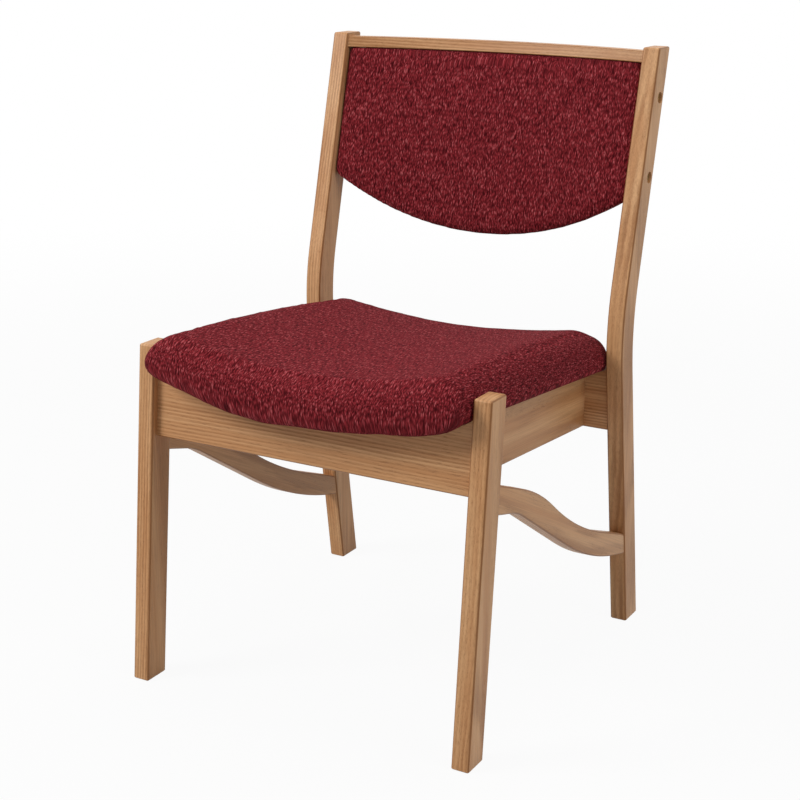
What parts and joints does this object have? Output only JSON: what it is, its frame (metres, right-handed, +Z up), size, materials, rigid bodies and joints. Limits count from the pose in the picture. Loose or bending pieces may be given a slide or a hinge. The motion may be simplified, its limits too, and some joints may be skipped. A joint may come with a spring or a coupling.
{
  "type": "upholstered wooden chair",
  "caption": "Wooden side chair with a dished upholstered seat, a bowed upholstered back pad between bent rear posts, and S-shaped side stretchers.",
  "frame": {"origin": "bottom centre of the chair's bounding box, on the floor", "axes": "+X to the sitter's left, -Y the way the sitter faces, +Z up"},
  "size_m": [0.52, 0.6014, 0.84],
  "materials": {
    "oak": "satin lacquered light oak, long grain along each member",
    "block_wood": "plain sawn beech",
    "dowel_beech": "turned beech",
    "plywood": "bent beech plywood",
    "red_fabric": "burgundy red chenille weave",
    "black_cloth": "black non-woven cloth",
    "foam": "upholstery foam",
    "brass": "dull brass",
    "screw_steel": "zinc-plated steel"
  },
  "bodies": {
    "root": {"back_batten_left": "block_wood", "back_batten_right": "block_wood", "back_bolts": "brass", "back_cover": "red_fabric", "back_foam": "foam", "back_inserts": "brass", "back_panel": "plywood", "back_wadding": "foam", "corner_block_front_left": "block_wood", "corner_block_front_right": "block_wood", "corner_block_rear_left": "block_wood", "corner_block_rear_right": "block_wood", "corner_block_screws": "screw_steel", "front_leg_left": "oak", "front_leg_right": "oak", "front_rail": "oak", "front_rail_dowels": "dowel_beech", "rear_post_left": "oak", "rear_post_right": "oak", "rear_rail": "oak", "rear_rail_dowels": "dowel_beech", "seat_board": "plywood", "seat_cover": "red_fabric", "seat_dust_cover": "black_cloth", "seat_foam": "foam", "seat_inserts": "brass", "seat_screws": "screw_steel", "side_rail_dowels": "dowel_beech", "side_rail_left": "oak", "side_rail_right": "oak", "side_stretcher_left": "oak", "side_stretcher_right": "oak", "stretcher_dowels": "dowel_beech", "top_rail": "oak", "top_rail_dowels": "dowel_beech"}
  },
  "joints": []
}
